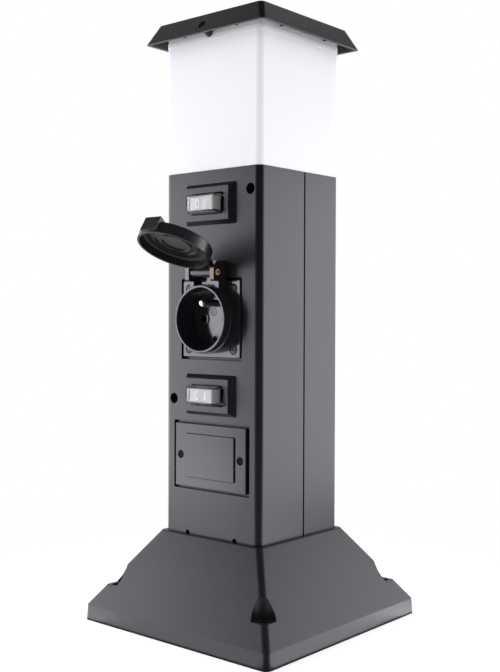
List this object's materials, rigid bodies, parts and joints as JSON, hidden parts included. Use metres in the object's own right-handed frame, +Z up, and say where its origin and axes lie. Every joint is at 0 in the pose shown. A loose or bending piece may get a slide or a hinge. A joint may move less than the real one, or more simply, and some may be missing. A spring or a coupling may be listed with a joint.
{
  "type": "garden socket post",
  "caption": "Square garden post with a sloped base hood, hinged-lid mains socket, rocker switches under clear boots, a blank cover and an opal lamp under a roof cap.",
  "frame": {"origin": "centre of the ground anchor pattern, at ground level on the column's axis", "axes": "+Z up along the column, the socket faces -Y, +X to the right of someone facing the socket"},
  "size_m": [0.1556, 0.1735, 0.3915],
  "materials": {
    "hood": "matt, finely stippled",
    "shell": "satin moulded",
    "gloss_black": "glossy black",
    "rubber": "matt",
    "steel": "zinc plated",
    "brass": "plain",
    "copper": "copper plated",
    "rocker": "satin, marked 0 and I",
    "boot": "clear silicone",
    "white_plastic": "plain",
    "bulb_glass": "opal",
    "diffuser": "frosted opal",
    "roof": "satin black"
  },
  "bodies": {
    "post": {"base_hood": "hood", "base_screws": "steel", "gland_body": "gloss_black", "gland_seal": "rubber", "gland_cap_nut": "gloss_black", "gland_lock_nut": "gloss_black", "front_shell": "shell", "rear_shell": "shell", "shell_screws": "steel", "terminal_block": "white_plastic", "terminal_clamps": "brass", "terminal_screws": "steel", "block_screws": "steel", "cover_plate": "shell", "cover_seal": "rubber", "cover_screws": "steel", "socket_housing": "gloss_black", "socket_seal": "rubber", "socket_insert": "gloss_black", "contact_sleeves": "brass", "earth_pin": "steel", "socket_back": "gloss_black", "insert_screw": "steel", "socket_screws": "steel", "hinge_pin": "copper", "upper_switch_body": "gloss_black", "upper_boot": "boot", "lower_switch_body": "gloss_black", "lower_boot": "boot", "switch_tabs": "brass", "switch_screws": "steel", "lamp_tray": "shell", "lampholder": "white_plastic", "lamp_contacts": "brass", "holder_screws": "steel", "bulb_cap": "steel", "bulb_globe": "bulb_glass", "tray_seal": "rubber", "diffuser": "diffuser", "diffuser_screws": "steel", "roof_cap": "roof", "cap_screws": "steel"},
    "lid": {"socket_lid": "gloss_black", "lid_seal": "rubber"},
    "upper_rocker": {"upper_rocker": "rocker"},
    "lower_rocker": {"lower_rocker": "rocker"}
  },
  "joints": [
    {"name": "lid_hinge", "type": "hinge", "parent": "post", "child": "lid", "pos_m": [0, -0.04775, 0.2267], "axis": [1, 0, 0], "range_deg": [0, 116]},
    {"name": "upper_switch", "type": "hinge", "parent": "post", "child": "upper_rocker", "pos_m": [0, -0.03915, 0.2699], "axis": [0, 0, 1], "range_deg": [0, 14]},
    {"name": "lower_switch", "type": "hinge", "parent": "post", "child": "lower_rocker", "pos_m": [0, -0.03915, 0.1493], "axis": [0, 0, 1], "range_deg": [0, 14]}
  ]
}
